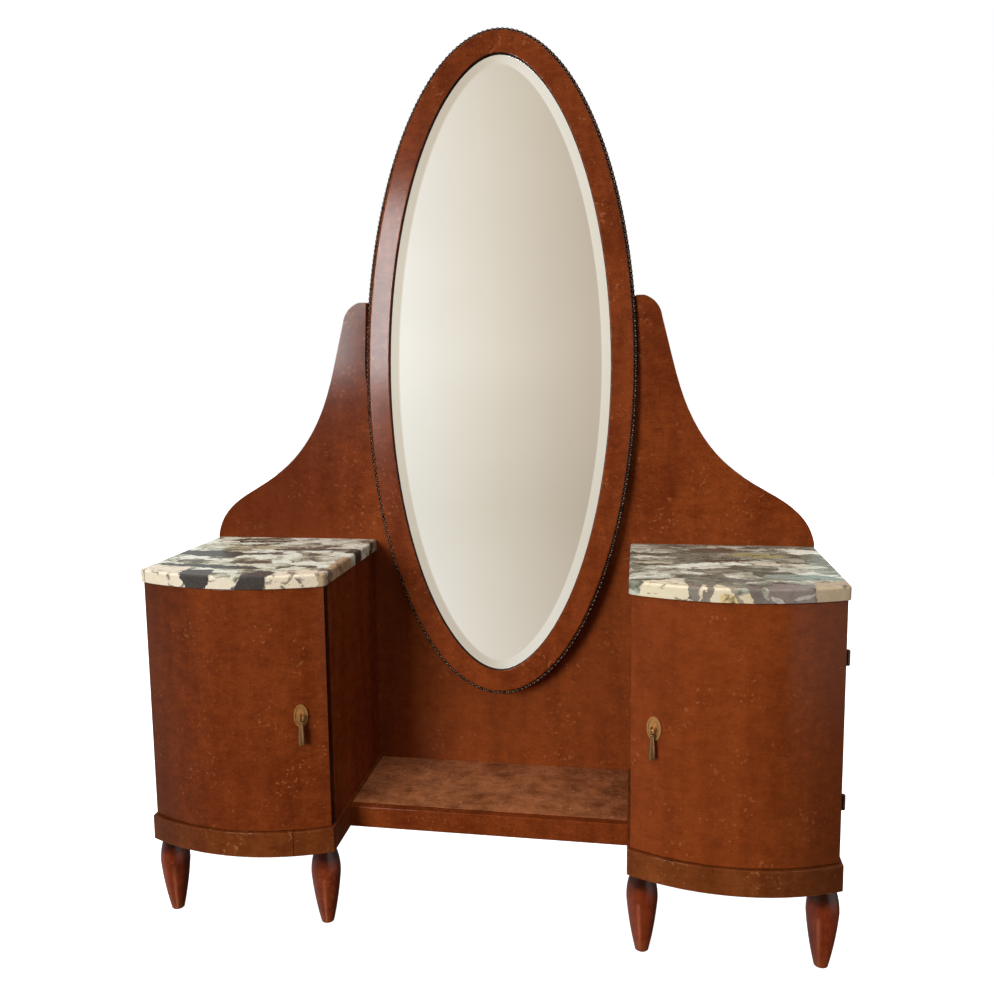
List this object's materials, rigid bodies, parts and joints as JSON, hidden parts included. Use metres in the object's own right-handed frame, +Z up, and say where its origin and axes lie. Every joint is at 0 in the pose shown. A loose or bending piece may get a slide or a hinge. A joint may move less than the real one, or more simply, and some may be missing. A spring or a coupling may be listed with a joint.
{
  "type": "dressing table",
  "caption": "Dressing table with bow-front cupboards under marble tops, a low platform between them, and a tall oval mirror that tilts between the wings of its back panel.",
  "frame": {"origin": "on the floor, under the middle of the whole table's bounding box", "axes": "+X to the viewer's right, +Y to the back, +Z up; the doors and the mirror face -Y"},
  "size_m": [1.367, 0.457, 1.8499],
  "materials": {
    "mahogany_veneer": "satin lacquer over red-brown veneer",
    "plinth_veneer": "satin lacquer, yellower and worn at the top edge",
    "turned_wood": "polished dark red",
    "plain_wood": "bare or thinly stained",
    "pale_marble": "polished, cream with dark grey-green fragments",
    "grey_marble": "polished, purple-grey with cream fragments",
    "aged_brass": "dulled with age",
    "ebonised_wood": "blackened, semi-gloss",
    "mirror": "silvered, bevelled",
    "steel": "plain steel"
  },
  "bodies": {
    "table": {"back_panel": "mahogany_veneer", "platform_board": "mahogany_veneer", "platform_apron": "mahogany_veneer", "left_outer_side": "mahogany_veneer", "right_outer_side": "mahogany_veneer", "left_inner_side": "mahogany_veneer", "right_inner_side": "mahogany_veneer", "left_plinth": "plinth_veneer", "right_plinth": "plinth_veneer", "left_front_inner_foot": "turned_wood", "left_front_outer_foot": "turned_wood", "left_rear_foot": "turned_wood", "right_front_inner_foot": "turned_wood", "right_front_outer_foot": "turned_wood", "right_rear_foot": "turned_wood", "left_cabinet_floor": "plain_wood", "left_cabinet_roof": "plain_wood", "left_cabinet_back": "plain_wood", "left_inner_shelf": "plain_wood", "right_cabinet_floor": "plain_wood", "right_cabinet_roof": "plain_wood", "right_cabinet_back": "plain_wood", "right_inner_shelf": "plain_wood", "platform_cleats": "plain_wood", "foot_blocks": "plain_wood", "left_hinge_frame_leaves": "aged_brass", "right_hinge_frame_leaves": "aged_brass", "hinge_pins": "aged_brass", "ball_catches": "aged_brass", "shelf_pins": "aged_brass", "pivot_bushes": "aged_brass", "panel_screws": "steel", "frame_leaf_screws": "steel", "left_marble_top": "pale_marble", "right_marble_top": "grey_marble"},
    "left_door": {"left_door": "mahogany_veneer", "left_hinge_door_leaves": "aged_brass", "left_door_leaf_screws": "steel", "left_handle_plate": "aged_brass", "left_handle_stud": "aged_brass", "left_pull_pin": "aged_brass", "left_strike_plate": "aged_brass"},
    "right_door": {"right_door": "mahogany_veneer", "right_hinge_door_leaves": "aged_brass", "right_door_leaf_screws": "steel", "right_handle_plate": "aged_brass", "right_handle_stud": "aged_brass", "right_pull_pin": "aged_brass", "right_strike_plate": "aged_brass"},
    "left_pull": {"left_drop_pull": "aged_brass"},
    "right_pull": {"right_drop_pull": "aged_brass"},
    "mirror": {"mirror_frame": "mahogany_veneer", "bead_moulding": "ebonised_wood", "mirror_glass": "mirror", "mirror_backing": "plain_wood", "backing_strip": "plain_wood", "pivot_brackets": "aged_brass", "pivot_pins": "steel", "bracket_screws": "steel"}
  },
  "joints": [
    {"name": "left_door_swing", "type": "hinge", "parent": "table", "child": "left_door", "pos_m": [-0.6785, -0.15302, 0.216], "axis": [0, 0, -1], "range_deg": [0, 165]},
    {"name": "right_door_swing", "type": "hinge", "parent": "table", "child": "right_door", "pos_m": [0.6785, -0.15302, 0.216], "axis": [0, 0, 1], "range_deg": [0, 165]},
    {"name": "left_pull_swing", "type": "hinge", "parent": "left_door", "child": "left_pull", "pos_m": [-0.3388, -0.20835, 0.453], "axis": [-0.9369, -0.3497, 0], "range_deg": [0, 85]},
    {"name": "right_pull_swing", "type": "hinge", "parent": "right_door", "child": "right_pull", "pos_m": [0.33365, -0.20639, 0.463], "axis": [-0.9321, 0.3621, 0], "range_deg": [0, 85]},
    {"name": "mirror_tilt", "type": "hinge", "parent": "table", "child": "mirror", "pos_m": [0, 0.20248, 1.15], "axis": [-1, 0, 0], "range_deg": [-3, 10]}
  ]
}
